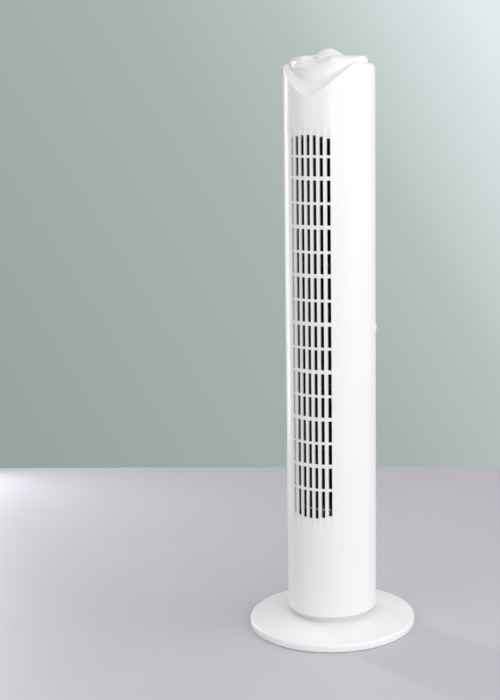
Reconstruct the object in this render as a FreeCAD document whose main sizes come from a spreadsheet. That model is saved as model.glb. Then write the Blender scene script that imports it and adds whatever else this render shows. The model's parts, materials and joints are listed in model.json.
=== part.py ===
import FreeCAD, Part
import math
import os
import Sketcher

# Tower fan, millimetres. The front faces -Y, +Z is up, and the origin is the
# centre of the base's underside. Angles round the tower are measured from the
# front, positive towards +X.

os.makedirs("parts", exist_ok=True)
doc = FreeCAD.newDocument("tower_fan")
V = FreeCAD.Vector
UP = V(0, 0, 1)


class Size:
    """A number that keeps the spreadsheet expression it was worked out from."""

    def __init__(self, value, text):
        self.value = value
        self.text = text

    @staticmethod
    def of(number):
        if isinstance(number, Size):
            return number
        return Size(float(number), repr(float(number)))

    def join(self, other, sign, value):
        return Size(value, "(%s %s %s)" % (self.text, sign, other.text))

    def __add__(self, other):
        other = Size.of(other)
        return self.join(other, "+", self.value + other.value)

    def __sub__(self, other):
        other = Size.of(other)
        return self.join(other, "-", self.value - other.value)

    def __rsub__(self, other):
        return Size.of(other) - self

    def __mul__(self, other):
        other = Size.of(other)
        return self.join(other, "*", self.value * other.value)

    def __neg__(self):
        return Size(-self.value, "(0 - %s)" % self.text)

    __radd__ = __add__
    __rmul__ = __mul__


# ---------------------------------------------------------------- dimensions

SIZES = {
    # base
    "base_radius": 110.0,
    "foot_height": 1.5,
    "foot_radius": 7.0,
    "skirt_foot": 0.6,
    "rim_top": 9.6,
    "neck_radius": 51.5,
    "neck_foot": 19.6,
    "neck_top": 24.0,
    "floor_top": 5.0,
    "weight_height": 2.5,
    # pivot
    "post_radius": 14.0,
    "post_shoulder": 50.0,
    "post_tip_radius": 11.0,
    "post_top": 55.8,
    "yoke_height": 4.0,
    "running_gap": 0.05,
    # tower shells
    "shell_radius": 58.8,
    "shell_wall": 2.4,
    "shell_foot": 25.6,
    "shoulder_top": 741.0,
    "shoulder_round": 8.0,
    "collar_foot": 690.0,
    "collar_radius": 49.9,
    "front_half_angle": 114.85,
    "rear_half_angle": 64.85,
    # outlet and intake grilles
    "slot_top": 651.4,
    "slot_foot": 158.1,
    "outlet_slot": 4.8,
    "outlet_pitch": 8.5,
    "intake_slot": 3.6,
    "intake_pitch": 7.6,
    "rib_recess": 0.8,
    "rib_thin": 3.5,
    "rib_thick": 5.0,
    "rib_pitch": 30.77,
    "rib_first": 194.9,
    # inner deck levels
    "bulkhead_foot": 82.0,
    "deck": 3.0,
    "motor_height": 55.0,
    "duct_top": 655.0,
    # drive
    "crank_offset": 30.0,
    "crank_throw": 17.2,
    "shaft_radius": 4.0,
    "impeller_radius": 40.0,
    "impeller_foot": 167.0,
    "impeller_top": 645.0,
    # head
    "pod_radius": 49.4,
    "pod_wall": 2.2,
    "lid_floor": 744.0,
    "lid_plate": 2.5,
    "lid_top": 750.0,
    "well_radius": 25.0,
    "knob_radius": 22.0,
    "knob_top": 759.5,
    "spindle_radius": 3.0,
    "button_ring": 35.5,
}

sheet = doc.addObject("Spreadsheet::Sheet", "Dims")
for row, (alias, number) in enumerate(SIZES.items(), 1):
    sheet.set("A%d" % row, alias)
    sheet.set("B%d" % row, str(number))
    sheet.setAlias("B%d" % row, alias)
doc.recompute()

S = {alias: Size(number, "Dims." + alias) for alias, number in SIZES.items()}
GAP = S["running_gap"]
SHELL_IN = S["shell_radius"] - S["shell_wall"]
DECK_RADIUS = SHELL_IN - 0.4
BULKHEAD_TOP = S["bulkhead_foot"] + S["deck"]
MOTOR_TOP = BULKHEAD_TOP + S["motor_height"]
UPPER_DECK_TOP = S["duct_top"] + S["deck"]
LID_UNDER = S["lid_floor"] - S["lid_plate"]
PLATE_UNDER = S["lid_top"] - S["lid_plate"]


# ------------------------------------------------------------------- helpers

def bind(thing, prop, size):
    thing.setExpression(prop, Size.of(size).text)


def place(thing, x=0.0, y=0.0, z=0.0, rotation=None):
    """Set the placement and bind its position to the spreadsheet."""
    spot = V(*[Size.of(n).value for n in (x, y, z)])
    thing.Placement = FreeCAD.Placement(spot, rotation or FreeCAD.Rotation())
    for axis, size in zip("xyz", (x, y, z)):
        if isinstance(size, Size):
            bind(thing, "Placement.Base." + axis, size)


def body(label, **position):
    made = doc.addObject("PartDesign::Body", label)
    made.Label = label
    place(made, **position)
    return made


def pin_point(sketch, geo, pos, point):
    """Dimension one sketch point from the sketch origin."""
    for kind, size in zip(("DistanceX", "DistanceY"), point):
        size = Size.of(size)
        made = Sketcher.Constraint(kind, -1, 1, geo, pos, size.value)
        index = sketch.addConstraint(made)
        sketch.setExpression("Constraints[%d]" % index, size.text)


def add_outline(sketch, points, arcs):
    """Closed outline. arcs maps a side's number to a point its arc passes."""
    flat = [V(Size.of(x).value, Size.of(y).value, 0) for x, y in points]
    ends = []
    for i, start in enumerate(flat):
        end = flat[(i + 1) % len(flat)]
        side = Part.LineSegment(start, end)
        if i in arcs:
            side = Part.ArcOfCircle(start, V(arcs[i][0], arcs[i][1], 0), end)
        geo = sketch.addGeometry(side, False)
        ahead = (sketch.getPoint(geo, 1) - start).Length < 1e-6
        ends.append((geo, 1, 2) if ahead else (geo, 2, 1))
        if i in arcs:
            rounding = Sketcher.Constraint("Radius", geo, side.Radius)
            sketch.addConstraint(rounding)
    for i, (geo, first, last) in enumerate(ends):
        follower = ends[(i + 1) % len(ends)]
        joined = Sketcher.Constraint("Coincident", geo, last, follower[0], follower[1])
        sketch.addConstraint(joined)
        pin_point(sketch, geo, first, points[i])


def add_circle(sketch, x, y, radius):
    centre = V(Size.of(x).value, Size.of(y).value, 0)
    radius = Size.of(radius)
    circle = Part.Circle(centre, UP, radius.value)
    geo = sketch.addGeometry(circle, False)
    made = Sketcher.Constraint("Radius", geo, radius.value)
    index = sketch.addConstraint(made)
    sketch.setExpression("Constraints[%d]" % index, radius.text)
    pin_point(sketch, geo, 3, (x, y))


def draw(owner, role, outlines=(), circles=(), lift=0.0, arcs=None):
    """Sketch on one of the body's origin planes, lifted along its normal."""
    sketch = owner.newObject("Sketcher::SketchObject", "Sketch")
    planes = owner.Origin.OriginFeatures
    plane = [f for f in planes if f.Role == role][0]
    sketch.AttachmentSupport = [(plane, "")]
    sketch.MapMode = "FlatFace"
    bind(sketch, "AttachmentOffset.Base.z", lift)
    for points in outlines:
        add_outline(sketch, points, arcs or {})
    for circle in circles:
        add_circle(sketch, *circle)
    doc.recompute()
    return sketch


def lathe(owner, outline, arcs=None, angle=360.0, plane="XZ_Plane", cut=False):
    """Revolve or groove an (r, z) outline about the body's Z axis."""
    kind = "PartDesign::Groove" if cut else "PartDesign::Revolution"
    sketch = draw(owner, plane, [outline], arcs=arcs)
    made = owner.newObject(kind, "Turned")
    made.Profile = sketch
    made.ReferenceAxis = (sketch, ["V_Axis"])
    made.Angle = Size.of(angle).value
    if isinstance(angle, Size):
        bind(made, "Angle", angle)
    made.Midplane = Size.of(angle).value < 360.0
    made.Refine = False
    doc.recompute()
    return made


def slab(owner, depth, plane="XY_Plane", cut=False, middle=False, **drawing):
    """Pad or pocket of a sketch; a pocket runs the same way as a pad would."""
    kind = "PartDesign::Pocket" if cut else "PartDesign::Pad"
    sketch = draw(owner, plane, **drawing)
    made = owner.newObject(kind, "Slab")
    made.Profile = sketch
    bind(made, "Length", depth)
    made.Midplane = middle
    made.Reversed = cut and not middle
    made.Refine = False
    doc.recompute()
    return made


def turned(label, outline, arcs=None, **position):
    made = body(label, **position)
    lathe(made, outline, arcs)
    return made


def tube(label, inner, outer, height, **position):
    """Plain ring with its foot at the placement."""
    corners = [(inner, 0), (outer, 0), (outer, height), (inner, height)]
    return turned(label, corners, **position)


def repeat_round(owner, feature, count):
    """Copy a feature round the body's Z axis."""
    axes = owner.Origin.OriginFeatures
    axis = [f for f in axes if f.Role == "Z_Axis"][0]
    made = owner.newObject("PartDesign::PolarPattern", "Round")
    made.Originals = [feature]
    made.Axis = (axis, [""])
    made.Angle = 360
    made.Occurrences = count
    made.Refine = False
    owner.Tip = made
    doc.recompute()
    return made


def repeat_up(owner, feature, length, count):
    """Copy a feature upwards, spread over the length."""
    axes = owner.Origin.OriginFeatures
    axis = [f for f in axes if f.Role == "Z_Axis"][0]
    made = owner.newObject("PartDesign::LinearPattern", "Stack")
    made.Originals = [feature]
    made.Direction = (axis, [""])
    bind(made, "Length", length)
    made.Occurrences = count
    made.Refine = False
    owner.Tip = made
    doc.recompute()
    return made


def edges_at(owner, test):
    """Names of the edges whose every vertex passes the test."""
    found = []
    for number, edge in enumerate(owner.Shape.Edges, 1):
        if all(test(vertex.Point) for vertex in edge.Vertexes):
            found.append("Edge%d" % number)
    return found


def soften(owner, radius, test):
    """Fillet the edges that pass the test, in the body's own coordinates."""
    tip = owner.Tip
    names = edges_at(tip, test)
    made = owner.newObject("PartDesign::Fillet", "Softened")
    made.Base = (tip, names)
    made.Radius = radius
    doc.recompute()
    return made


def combined(kind, label, parts):
    """Part::Compound or Part::MultiFuse of several shapes."""
    made = doc.addObject(kind, label)
    made.Label = label
    if kind == "Part::Compound":
        made.Links = parts
    else:
        made.Shapes = parts
    doc.recompute()
    return made


def paired(kind, label, base, tool):
    """Part::Cut or Part::Common of two shapes."""
    made = doc.addObject(kind, label)
    made.Label = label
    made.Base = base
    made.Tool = tool
    doc.recompute()
    return made


def rectangle(x0, x1, y0, y1):
    return [(x0, y0), (x1, y0), (x1, y1), (x0, y1)]


def round_point(radius, degrees):
    """Plan position at an angle from the front."""
    turn = math.radians(degrees)
    return radius * math.sin(turn), -radius * math.cos(turn)


def outward(degrees):
    """Rotation that turns +Z to point out of the tower at this angle."""
    x, y = round_point(1.0, degrees)
    return FreeCAD.Rotation(UP, V(x, y, 0))


def screw(label, head, shank, length, flip=False):
    """Pan-head screw, head up, with its seat at z = 0 and a cross recess."""
    made = body(label)
    head_height = head * 0.6
    profile = [
        (0, -length),
        (shank, -length),
        (shank, 0),
        (head, 0),
        (head, head_height * 0.55),
        (head * 0.6, head_height),
        (0, head_height),
    ]
    if flip:
        profile = [(r, -z) for r, z in profile]
    lathe(made, profile)
    depth = head_height * 0.6
    foot = -head_height if flip else head_height - depth
    half = head * 0.55
    for lean in (0, 1):
        bar = [(-half, 0.35), (half, 0.35)]
        bar = [(x, -y) for x, y in bar] + bar[::-1]
        if lean:
            bar = [(y, -x) for x, y in bar]
        slab(made, depth, cut=True, outlines=[bar], lift=foot)
    return made


def set_of_screws(label, pattern, spots):
    """One node holding copies of a screw; spots are (x, y, z, rotation)."""
    copies = []
    for number, (x, y, z, rotation) in enumerate(spots, 1):
        link = doc.addObject("App::Link", "%s_%d" % (label, number))
        link.LinkedObject = pattern
        link.LinkTransform = False
        place(link, x, y, z, rotation)
        copies.append(link)
    return combined("Part::Compound", label, copies)


# ---------------------------------------------------------------------- base

def build_base_cover():
    wall = 2.4
    neck = S["neck_radius"]
    rim = S["base_radius"]
    outline = [
        (20, S["neck_top"]),
        (20, S["neck_top"] - wall),
        (neck - wall, S["neck_top"] - wall),
        (neck - wall, S["neck_foot"] - wall),
        (rim - wall, S["rim_top"] - 3.2),
        (rim - wall, S["skirt_foot"]),
        (rim, S["skirt_foot"]),
        (rim, S["rim_top"] - 2.4),
        (rim - 2.4, S["rim_top"]),
        (neck, S["neck_foot"]),
        (neck, S["neck_top"]),
    ]
    arcs = {3: (80.0, 13.7), 7: (109.3, 8.9), 8: (80.0, 16.1)}
    made = body("base_cover")
    lathe(made, outline, arcs)
    post_foot = S["floor_top"]
    height = S["neck_top"] - wall + 0.6 - post_foot
    spots = [round_point(42.0, 45 + 90 * i) for i in range(4)]
    slab(made, height, circles=[(x, y, 4.5) for x, y in spots], lift=post_foot)
    holes = [(x, y, 1.55) for x, y in spots]
    slab(made, 12, cut=True, circles=holes, lift=post_foot)
    return made


def build_base_bottom():
    top = S["floor_top"]
    foot = S["foot_height"]
    made = body("base_bottom")
    disc = [(0, 0, S["base_radius"] - 2.8), (0, 0, 8)]
    slab(made, top - foot, circles=disc, lift=foot)
    cover = [round_point(42.0, 45 + 90 * i) for i in range(4)]
    sinks = [(x, y, 4.2) for x, y in cover]
    slab(made, 1.8, cut=True, circles=sinks, lift=foot)
    slab(made, 5, cut=True, circles=[(x, y, 1.9) for x, y in cover], lift=foot)
    post = [round_point(28.0, 90 * i) for i in range(4)]
    pilots = [(x, y, 1.55) for x, y in post]
    slab(made, 2.7, cut=True, circles=pilots, lift=top - 2.7)
    return made


def build_base_weight():
    made = tube("base_weight", 58, 96, S["weight_height"], z=S["floor_top"])
    return made


def build_rubber_feet():
    copies = []
    for number in range(6):
        x, y = round_point(94.0, 30 + 60 * number)
        pad = body("foot_pad_%d" % (number + 1), x=x, y=y)
        size = S["foot_radius"]
        height = S["foot_height"]
        bottom = [(0, 0), (size - 1, 0), (size, 0.6), (size, height), (0, height)]
        lathe(pad, bottom)
        copies.append(pad)
    return combined("Part::Compound", "rubber_feet", copies)


def build_base_screws():
    pattern = screw("base_screw_pattern", 3.0, 1.5, 11.5, flip=True)
    seat = S["foot_height"] + 1.8
    spots = [round_point(42.0, 45 + 90 * i) + (seat, None) for i in range(4)]
    return set_of_screws("base_screws", pattern, spots)


def build_pivot_post():
    shoulder = S["post_shoulder"]
    foot = S["floor_top"]
    ring_foot = shoulder + S["yoke_height"]
    tip = S["post_tip_radius"]
    outline = [
        (7, foot),
        (34, foot),
        (34, foot + 3),
        (S["post_radius"] + 3, foot + 3),
        (S["post_radius"], foot + 6),
        (S["post_radius"], shoulder),
        (tip, shoulder),
        (tip, ring_foot),
        (tip - 1, ring_foot),
        (tip - 1, ring_foot + 1.25),
        (tip, ring_foot + 1.25),
        (tip, S["post_top"]),
        (7, S["post_top"]),
    ]
    made = body("pivot_post")
    lathe(made, outline)
    holes = [round_point(28.0, 90 * i) + (1.9,) for i in range(4)]
    slab(made, 5, cut=True, circles=holes, lift=foot)
    return made


def build_post_screws():
    pattern = screw("post_screw_pattern", 3.0, 1.5, 5.5)
    seat = S["floor_top"] + 3
    spots = [round_point(28.0, 90 * i) + (seat, None) for i in range(4)]
    return set_of_screws("post_screws", pattern, spots)


def build_slip_ring():
    return tube("slip_ring", 30, 46, 1.0, z=S["neck_top"])


def build_swing_yoke():
    made = body("swing_yoke", z=S["post_shoulder"])
    height = S["yoke_height"]
    tube_hole = (0, 0, S["post_tip_radius"] + GAP)
    slab(made, height, circles=[(0, 0, 17), tube_hole])
    slab(made, height, outlines=[rectangle(-7, 7, 15, 52)])
    slab(made, height, cut=True, outlines=[rectangle(-4, 4, 27, 49.6)])
    return made


def build_retaining_ring():
    foot = S["post_shoulder"] + S["yoke_height"]
    made = body("retaining_ring", z=foot)
    inner = S["post_tip_radius"] - 1 + GAP
    slab(made, 1.2, circles=[(0, 0, 14), (0, 0, inner)])
    slab(made, 2, cut=True, outlines=[rectangle(-4, 4, -16, 0)])
    return made


# --------------------------------------------------------------- tower frame

def build_turntable():
    foot = S["neck_top"] + 1 + GAP
    inner = S["post_radius"] + GAP
    outline = [
        (inner, foot),
        (DECK_RADIUS + 1.6, foot),
        (DECK_RADIUS + 1.6, S["shell_foot"]),
        (DECK_RADIUS, S["shell_foot"]),
        (DECK_RADIUS, 38),
        (DECK_RADIUS - 4, 38),
        (DECK_RADIUS - 4, foot + 3.2),
        (18, foot + 3.2),
        (18, 49),
        (inner, 49),
    ]
    rough = turned("turntable_blank", outline)
    pilots = radial_tools("turntable_pilot", [SCREW_LEVELS[0]], PILOT)
    return paired("Part::Cut", "turntable", rough, grouped("turntable_pilots", pilots))


SCREW_LEVELS = (33.0, 79.5, 662.5)
SCREW_ANGLES = (150.0, 210.0)
SEAT_OUT = 57.5
PILOT = [(0, 49.5), (1.35, 49.5), (1.35, 60), (0, 60)]
WELL = [(0, 50), (1.7, 50), (1.7, SEAT_OUT), (3.3, SEAT_OUT), (3.3, 62), (0, 62)]


def radial_tools(label, levels, outline):
    """Drilling tools lying radially; the outline's height is distance out."""
    made = []
    for level in levels:
        for angle in SCREW_ANGLES:
            tool = turned("%s_%d" % (label, len(made) + 1), outline)
            place(tool, 0, 0, level, outward(angle))
            made.append(tool)
    return made


def grouped(label, parts):
    return combined("Part::Compound", label, parts)


def build_lower_bulkhead():
    outline = [
        (0, 0),
        (DECK_RADIUS - 4, 0),
        (DECK_RADIUS - 4, -7),
        (DECK_RADIUS, -7),
        (DECK_RADIUS, S["deck"]),
        (0, S["deck"]),
    ]
    blank = body("lower_bulkhead_blank", z=S["bulkhead_foot"])
    lathe(blank, outline)
    gear = [(26, S["crank_offset"], 1.3), (-26, S["crank_offset"], 1.3)]
    motor = [round_point(40.0, 90 * i) + (1.3,) for i in range(4)]
    slab(blank, S["deck"], cut=True, circles=gear + motor)
    pilots = radial_tools("lower_pilot", [SCREW_LEVELS[1]], PILOT)
    tools = grouped("lower_pilots", pilots)
    return paired("Part::Cut", "lower_bulkhead", blank, tools)


def build_upper_bulkhead():
    outline = [
        (9.3, 0),
        (DECK_RADIUS, 0),
        (DECK_RADIUS, 11),
        (DECK_RADIUS - 4, 11),
        (DECK_RADIUS - 4, S["deck"]),
        (9.3, S["deck"]),
    ]
    blank = body("upper_bulkhead_blank", z=S["duct_top"])
    lathe(blank, outline)
    height = S["collar_foot"] - 3 - UPPER_DECK_TOP
    slab(blank, height, circles=[(x, y, 4) for x, y in POD_POSTS], lift=S["deck"])
    holes = [(x, y, 1.3) for x, y in POD_POSTS]
    slab(blank, 14, cut=True, circles=holes, lift=height + S["deck"] - 14)
    pilots = radial_tools("upper_pilot", [SCREW_LEVELS[2]], PILOT)
    tools = grouped("upper_pilots", pilots)
    return paired("Part::Cut", "upper_bulkhead", blank, tools)


POD_POSTS = [(38.0, 6.0), (-38.0, 6.0), (0.0, -38.0)]


def build_swing_motor():
    made = body("swing_motor", y=S["crank_offset"], z=S["bulkhead_foot"])
    outline = [(3.55, -18), (20.5, -18), (20.5, 0), (0, 0), (0, -13), (3.55, -13)]
    lathe(made, outline)
    ears = [rectangle(-30, 30, -4.5, 4.5)]
    slab(made, 1.5, outlines=ears, lift=-1.5)
    holes = [(26, 0, 1.7), (-26, 0, 1.7)]
    slab(made, 1.5, cut=True, circles=holes, lift=-1.5)
    return made


def build_swing_motor_screws():
    pattern = screw("swing_screw_pattern", 2.8, 1.25, 4.2, flip=True)
    seat = S["bulkhead_foot"] - 1.5
    spots = [(x, S["crank_offset"], seat, None) for x in (26.0, -26.0)]
    return set_of_screws("swing_motor_screws", pattern, spots)


def build_swing_crank():
    made = body("swing_crank", y=S["crank_offset"], z=56.6)
    disc = [(0, 0), (20, 0), (20, 3.6), (7, 3.6), (7, 6), (3.5, 6), (3.5, 11), (0, 11)]
    lathe(made, disc)
    slab(made, 7, circles=[(0, S["crank_throw"], 2)], lift=-7)
    return made


def build_motor_housing():
    top = S["motor_height"]
    outline = [
        (34, 0),
        (44, 0),
        (44, 3),
        (36, 3),
        (36, top - 3),
        (33, top),
        (5, top),
        (5, top - 2),
        (30, top - 2),
        (30, top - 14),
        (34, top - 14),
    ]
    made = body("motor_housing", z=BULKHEAD_TOP)
    lathe(made, outline)
    holes = [round_point(40.0, 90 * i) + (1.7,) for i in range(4)]
    slab(made, 3, cut=True, circles=holes)
    return made


def build_motor_screws():
    pattern = screw("motor_screw_pattern", 2.8, 1.25, 5.5)
    seat = BULKHEAD_TOP + 3
    spots = [round_point(40.0, 90 * i) + (seat, None) for i in range(4)]
    return set_of_screws("motor_screws", pattern, spots)


def build_motor_stator():
    made = body("motor_stator", z=BULKHEAD_TOP + 8)
    height = S["motor_height"] - 22
    slab(made, height, circles=[(0, 0, 33.6), (0, 0, 22)])
    slot = slab(made, height, cut=True, outlines=[rectangle(20, 27, -1.5, 1.5)])
    repeat_round(made, slot, 12)
    return made


def build_motor_rotor():
    shaft = S["shaft_radius"]
    foot = BULKHEAD_TOP + 1.5
    top = S["impeller_foot"] - 2 - foot
    outline = [(0, 0), (shaft, 0), (shaft, 9), (21.5, 9), (21.5, 37)]
    outline += [(shaft, 37), (shaft, top), (0, top)]
    return turned("motor_rotor", outline, z=foot)


def build_motor_bearings():
    bore = S["shaft_radius"] + GAP
    low = turned(
        "lower_bush",
        [(0, 0), (9, 0), (9, 7), (bore, 7), (bore, 1.4), (0, 1.4)],
        z=BULKHEAD_TOP,
    )
    high = tube("upper_bush", bore, 9, 7, z=MOTOR_TOP - 9)
    return grouped("motor_bearings", [low, high])


def build_air_duct():
    made = body("air_duct", z=MOTOR_TOP)
    slab(made, 2.5, circles=[(0, 0, SHELL_IN - 0.5), (0, 0, 6)])
    volute = [(30.1, -46.3), (40.3, 16.3), (38.5, 15.6), (29.0, -44.6)]
    arcs = {0: (48.9, -12.9), 2: (47.0, -12.4)}
    height = S["duct_top"] - MOTOR_TOP
    slab(made, height, outlines=[volute], arcs=arcs)
    return made


def build_duct_tongue():
    made = body("duct_tongue", z=MOTOR_TOP + 2.5)
    wall = [(-24.2, -50.4), (-30.1, -47.0), (-35.4, -43.2), (-38.6, -24.0), (-36.2, -22.8)]
    wall += [(-33.2, -41.5), (-30.1, -45.3), (-24.2, -49.0)]
    slab(made, S["duct_top"] - MOTOR_TOP - 2.5, outlines=[wall])
    return made


def build_bearing_rubber():
    outline = [
        (6.4, -2.5),
        (14, -2.5),
        (14, 0),
        (9, 0),
        (9, S["deck"]),
        (14, S["deck"]),
        (14, 5.5),
        (6.4, 5.5),
    ]
    return turned("bearing_rubber", outline, z=S["duct_top"])


def build_bearing_bush():
    bore = S["spindle_radius"] + GAP
    outline = [(bore, -4), (6.1, -4), (6.1, 5.5), (9, 5.5), (9, 7), (bore, 7)]
    return turned("bearing_bush", outline, z=S["duct_top"])


# ------------------------------------------------------------- moving blower

def build_impeller_coupling():
    bore = S["shaft_radius"] + GAP
    outline = [(bore, -17), (8, -17), (8, -4), (38, -4), (38, 0)]
    outline += [(0, 0), (0, -2), (bore, -2)]
    return turned("impeller_coupling", outline, z=S["impeller_foot"])


def build_impeller():
    made = body("impeller", z=S["impeller_foot"])
    span = S["impeller_top"] - S["impeller_foot"]
    slab(made, 2.5, circles=[(0, 0, S["impeller_radius"])])
    blade = [(29.5, 6.2), (34.5, 4.6), (39.4, 0), (38.2, -0.6), (33.9, 3.4), (29.2, 4.9)]
    vane = slab(made, span, outlines=[blade])
    repeat_round(made, vane, 24)
    for number in range(1, 6):
        ring = [(0, 0, S["impeller_radius"]), (0, 0, 28.5)]
        slab(made, 2, circles=ring, lift=span.value / 6 * number - 1)
    cap = [(0, -6), (9, -6), (9, -2.5), (S["impeller_radius"], -2.5)]
    cap += [(S["impeller_radius"], 0), (S["spindle_radius"] + GAP, 0)]
    cap += [(S["spindle_radius"] + GAP, -4), (0, -4)]
    lathe(made, [(r, span + z) for r, z in cap])
    return made


def build_top_pin():
    outline = [(0, -4), (S["spindle_radius"], -4), (S["spindle_radius"], 18.5)]
    outline += [(2.2, 19.3), (0, 19.3)]
    return turned("top_pin", outline, z=S["impeller_top"])


# -------------------------------------------------------------------- shells

def add_grille(made, side, slot, pitch, count, half_angle):
    """Cut the slots through one shell, then put the cross ribs back in.

    side is -1 for the front shell and +1 for the rear one."""
    radius = S["shell_radius"].value
    for number in range(count):
        across = (number - (count - 1) / 2) * pitch.value
        face = math.sqrt(radius * radius - across * across)
        bow = across * across / 150 if side < 0 else 0.0
        top = S["slot_top"].value - bow
        foot = S["slot_foot"].value + bow
        lead = 10.5 if side < 0 else 3.0
        outline = [
            (side * (face + 3), foot - lead * 1.6),
            (side * (face + 0.2), foot - lead * 1.6),
            (side * (face - 1.9), foot),
            (side * (face - 14), foot),
            (side * (face - 14), top),
            (side * (face - 1.9), top),
            (side * (face + 0.2), top + lead),
            (side * (face + 3), top + lead),
        ]
        slab(
            made,
            slot,
            plane="YZ_Plane",
            cut=True,
            middle=True,
            outlines=[outline],
            lift=across,
        )
    inner = side * SHELL_IN
    outer = side * (S["shell_radius"] - S["rib_recess"])
    pitch_up = S["rib_pitch"] + S["rib_pitch"]
    ribs = [("rib_thin", 0, 7), ("rib_thick", 1, 7)]
    for kind, skip, copies in ribs:
        foot = S["rib_first"] + skip * S["rib_pitch"]
        first = [(inner, foot), (outer, foot), (outer, foot + S[kind]), (inner, foot + S[kind])]
        rib = lathe(made, first, angle=half_angle * 2, plane="YZ_Plane")
        repeat_up(made, rib, pitch_up * (copies - 1), copies)
    foot = S["rib_first"] + 14 * S["rib_pitch"] - 2.9
    top = foot + S["rib_thin"]
    last = [(inner, foot), (outer, foot), (outer, top), (inner, top)]
    lathe(made, last, angle=half_angle * 2, plane="YZ_Plane")


SMILE_OUT = [(0, 698.8), (9, 701.9), (18, 707.7), (27, 714.6), (36, 721.8), (44, 728.3)]
SMILE_OUT += [(57, 736.8), (66, 742.4), (75, 749)]
SMILE_IN = [(0, 718.6), (9, 719.3), (17, 721.0), (29, 725.4), (39, 730.6), (52, 737.0)]
SMILE_IN += [(65.6, 742.6), (75, 746.8)]


def smile_height(table, angle):
    """Height of one edge of the front bevel, by straight interpolation."""
    pairs = zip(table, table[1:])
    for (a0, z0), (a1, z1) in pairs:
        if abs(angle) <= a1:
            return z0 + (z1 - z0) * (abs(angle) - a0) / (a1 - a0)
    return table[-1][1]


def smile_edge(radius):
    """Smooth curve of the bevel at a radius, from one side to the other."""
    share = (S["shell_radius"].value - radius) / 9.4
    points = []
    for angle in (-75, -66, -57, -48, -40, -32, -24, -16, -8, 0):
        low = smile_height(SMILE_OUT, angle)
        high = smile_height(SMILE_IN, angle)
        x, y = round_point(radius, angle)
        points.append(V(x, y, low + (high - low) * share))
    points += [V(-p.x, p.y, p.z) for p in reversed(points[:-1])]
    curve = Part.BSplineCurve()
    curve.interpolate(points)
    return curve.toShape()


def smile_tool(label, drop):
    """Everything above the sweeping bevel at the front of the shell."""
    sheet_face = Part.makeRuledSurface(smile_edge(46.0), smile_edge(63.0))
    made = doc.addObject("Part::Feature", label)
    made.Label = label
    made.Shape = sheet_face.extrude(V(0, 0, 70))
    made.Placement = FreeCAD.Placement(V(0, 0, -drop), FreeCAD.Rotation())
    return made


def build_front_housing():
    outer = -S["shell_radius"]
    inner = -SHELL_IN
    collar = -S["collar_radius"]
    top = S["shoulder_top"]
    outline = [
        (outer, S["shell_foot"] + 1.6),
        (outer, top - S["shoulder_round"]),
        (outer + S["shoulder_round"], top),
        (collar, top + 0.3),
        (collar, S["collar_foot"]),
        (inner, S["collar_foot"]),
        (inner, S["shell_foot"]),
        (outer + 1.6, S["shell_foot"]),
    ]
    arcs = {1: (-56.457, 738.657), 7: (-58.33, 26.07)}
    blank = body("front_blank")
    lathe(blank, outline, arcs, S["front_half_angle"] * 2, "YZ_Plane")
    grille = (S["outlet_slot"], S["outlet_pitch"], 7)
    add_grille(blank, -1, *grille, 29.6)
    hollow = body("front_hollow")
    room = [
        (inner, S["collar_foot"] - 2),
        (inner, 731),
        (-52.3, 737),
        (-52.3, S["collar_foot"] - 2),
    ]
    lathe(hollow, room, None, 228.0, "YZ_Plane")
    lowered = smile_tool("smile_lowered", 4.5)
    pocket = paired("Part::Cut", "front_pocket", hollow, lowered)
    tools = [smile_tool("smile_cutter", 0), pocket] + clip_notches("front")
    return paired("Part::Cut", "front_housing", blank, grouped("front_tools", tools))


def clip_notches(label):
    """Boxes that open the shells' seam for the two clips."""
    made = []
    for angle in (115.0, -115.0):
        notch = doc.addObject("Part::Box", "%s_notch_%d" % (label, len(made) + 1))
        notch.Length = 6.6
        notch.Width = 14
        notch.Height = 8.6
        x, y = round_point(64.0, angle)
        turn = FreeCAD.Rotation(UP, angle)
        corner = V(x, y, 395.7) + turn.multVec(V(-3.3, 0, 0))
        notch.Placement = FreeCAD.Placement(corner, turn)
        made.append(notch)
    return made


def build_seam_clips():
    """Barbed plugs that hold the two shells together at mid height."""
    made = []
    for angle in (115.0, -115.0):
        clip = body("clip_%d" % (len(made) + 1))
        turn = FreeCAD.Rotation(UP, angle)
        x, y = round_point(55.4, angle)
        clip.Placement = FreeCAD.Placement(V(x, y, 400), turn)
        slab(clip, 8, outlines=[rectangle(-3, 3, -4.2, 0)], lift=-4)
        slab(clip, 14, outlines=[rectangle(-6.5, 6.5, -0.2, 1.6)], lift=-7)
        soften(clip, 0.8, lambda p: p.y < -4.1)
        made.append(clip)
    return grouped("seam_clips", made)


def build_rear_housing():
    outer = S["shell_radius"]
    collar = S["collar_radius"]
    top = S["shoulder_top"]
    outline = [
        (outer, S["shell_foot"] + 1.6),
        (outer, top - S["shoulder_round"]),
        (outer - S["shoulder_round"], top),
        (collar, top + 0.3),
        (collar, S["collar_foot"]),
        (collar + 2.4, S["collar_foot"]),
        (collar + 2.4, top - 3),
        (SHELL_IN, top - 10),
        (SHELL_IN, S["shell_foot"]),
        (outer - 1.6, S["shell_foot"]),
    ]
    arcs = {1: (56.457, 738.657), 9: (58.33, 26.07)}
    blank = body("rear_blank")
    lathe(blank, outline, arcs, S["rear_half_angle"] * 2, "YZ_Plane")
    grille = (S["intake_slot"], S["intake_pitch"], 11)
    add_grille(blank, 1, *grille, 43.0)
    inlet = [(0, 50), (5.3, 50), (5.3, 58), (8.2, 58), (8.2, 62), (0, 62)]
    hole = turned("inlet_well", inlet)
    place(hole, 0, 0, INLET_LEVEL, outward(180))
    tools = radial_tools("shell_well", SCREW_LEVELS, WELL) + [hole]
    tools += clip_notches("rear")
    return paired("Part::Cut", "rear_housing", blank, grouped("rear_tools", tools))


INLET_LEVEL = 46.5


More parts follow.
